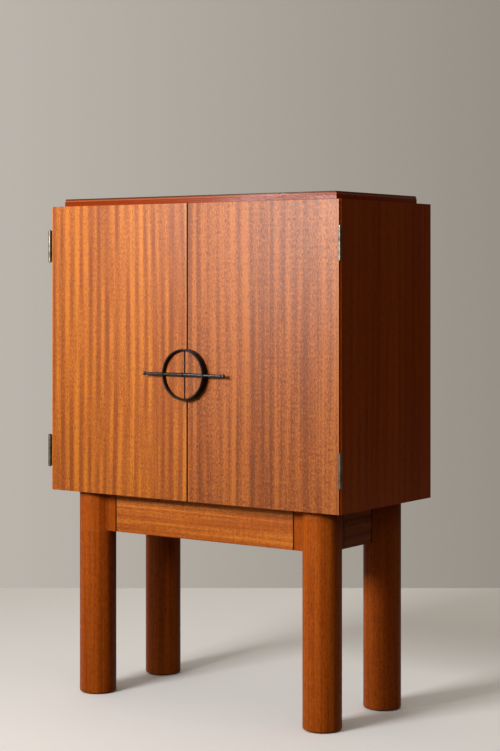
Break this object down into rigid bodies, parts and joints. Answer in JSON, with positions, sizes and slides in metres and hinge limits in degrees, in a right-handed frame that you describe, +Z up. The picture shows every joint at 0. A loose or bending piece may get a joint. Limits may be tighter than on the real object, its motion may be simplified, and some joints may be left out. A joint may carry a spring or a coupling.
{
  "type": "bar cabinet with fold-out shelf",
  "caption": "Bar cabinet on thick round legs with ribbon-striped wood doors, a split hoop-and-rod pull, exposed corner hinges and a shelf that folds out from the inside of one door.",
  "frame": {"origin": "on the floor, under the middle of the whole object's box", "axes": "+X to the right as one faces the doors, +Y to the back, +Z up"},
  "size_m": [0.863, 0.42, 1.219],
  "materials": {
    "door_veneer": "satin lacquer over ribbon-striped veneer",
    "case_veneer": "satin lacquer over ribbon-striped veneer",
    "inner_veneer": "satin lacquer",
    "slab_wood": "polished lacquer",
    "leg_wood": "satin lacquer over solid wood",
    "aged_brass": "darkened with age",
    "brass": "plain",
    "black_iron": "blackened and waxed",
    "steel": "plain",
    "felt": "pressed felt"
  },
  "bodies": {
    "case": {"apron_tenons": "inner_veneer", "back_apron": "leg_wood", "back_left_leg": "leg_wood", "back_panel": "inner_veneer", "back_right_leg": "leg_wood", "back_screws": "steel", "case_bottom": "case_veneer", "case_hinge_screws": "aged_brass", "case_splines": "inner_veneer", "case_top": "case_veneer", "door_magnets": "steel", "fixed_shelf": "inner_veneer", "front_apron": "leg_wood", "front_left_leg": "leg_wood", "front_right_leg": "leg_wood", "hinge_pins": "aged_brass", "left_apron": "leg_wood", "left_lower_case_leaf": "aged_brass", "left_side": "case_veneer", "left_upper_case_leaf": "aged_brass", "leg_bolts": "steel", "leg_glides": "felt", "leg_inserts": "brass", "loose_shelf": "inner_veneer", "right_apron": "leg_wood", "right_lower_case_leaf": "aged_brass", "right_side": "case_veneer", "right_upper_case_leaf": "aged_brass", "shelf_supports": "brass", "slab_screws": "steel", "top_slab": "slab_wood"},
    "door_left": {"left_door": "door_veneer", "left_upper_door_leaf": "aged_brass", "left_lower_door_leaf": "aged_brass", "left_door_hinge_screws": "aged_brass", "left_door_strikes": "steel", "left_hoop": "black_iron", "left_rod": "black_iron", "left_disc": "door_veneer", "left_pull_screws": "steel"},
    "door_right": {"right_door": "door_veneer", "right_upper_door_leaf": "aged_brass", "right_lower_door_leaf": "aged_brass", "right_door_hinge_screws": "aged_brass", "right_door_strikes": "steel", "right_hoop": "black_iron", "right_rod": "black_iron", "right_disc": "door_veneer", "right_pull_screws": "steel", "fold_shelf_left_cheek": "leg_wood", "fold_shelf_right_cheek": "leg_wood", "stop_rail": "leg_wood", "stow_block": "leg_wood", "stow_magnet": "steel", "fold_shelf_pins": "brass", "bracket_screws": "steel"},
    "shelf_leaf": {"fold_shelf": "inner_veneer", "fold_shelf_bushes": "brass", "fold_shelf_strike": "steel"}
  },
  "joints": [
    {"name": "left_door_hinge", "type": "hinge", "parent": "case", "child": "door_left", "pos_m": [-0.427, -0.192, 0.5], "axis": [0, 0, -1], "range_deg": [0, 180]},
    {"name": "right_door_hinge", "type": "hinge", "parent": "case", "child": "door_right", "pos_m": [0.427, -0.192, 0.5], "axis": [0, 0, 1], "range_deg": [0, 180]},
    {"name": "fold_shelf_pivot", "type": "hinge", "parent": "door_right", "child": "shelf_leaf", "pos_m": [0.20312, -0.14, 0.858], "axis": [-1, 0, 0], "range_deg": [0, 90]}
  ]
}
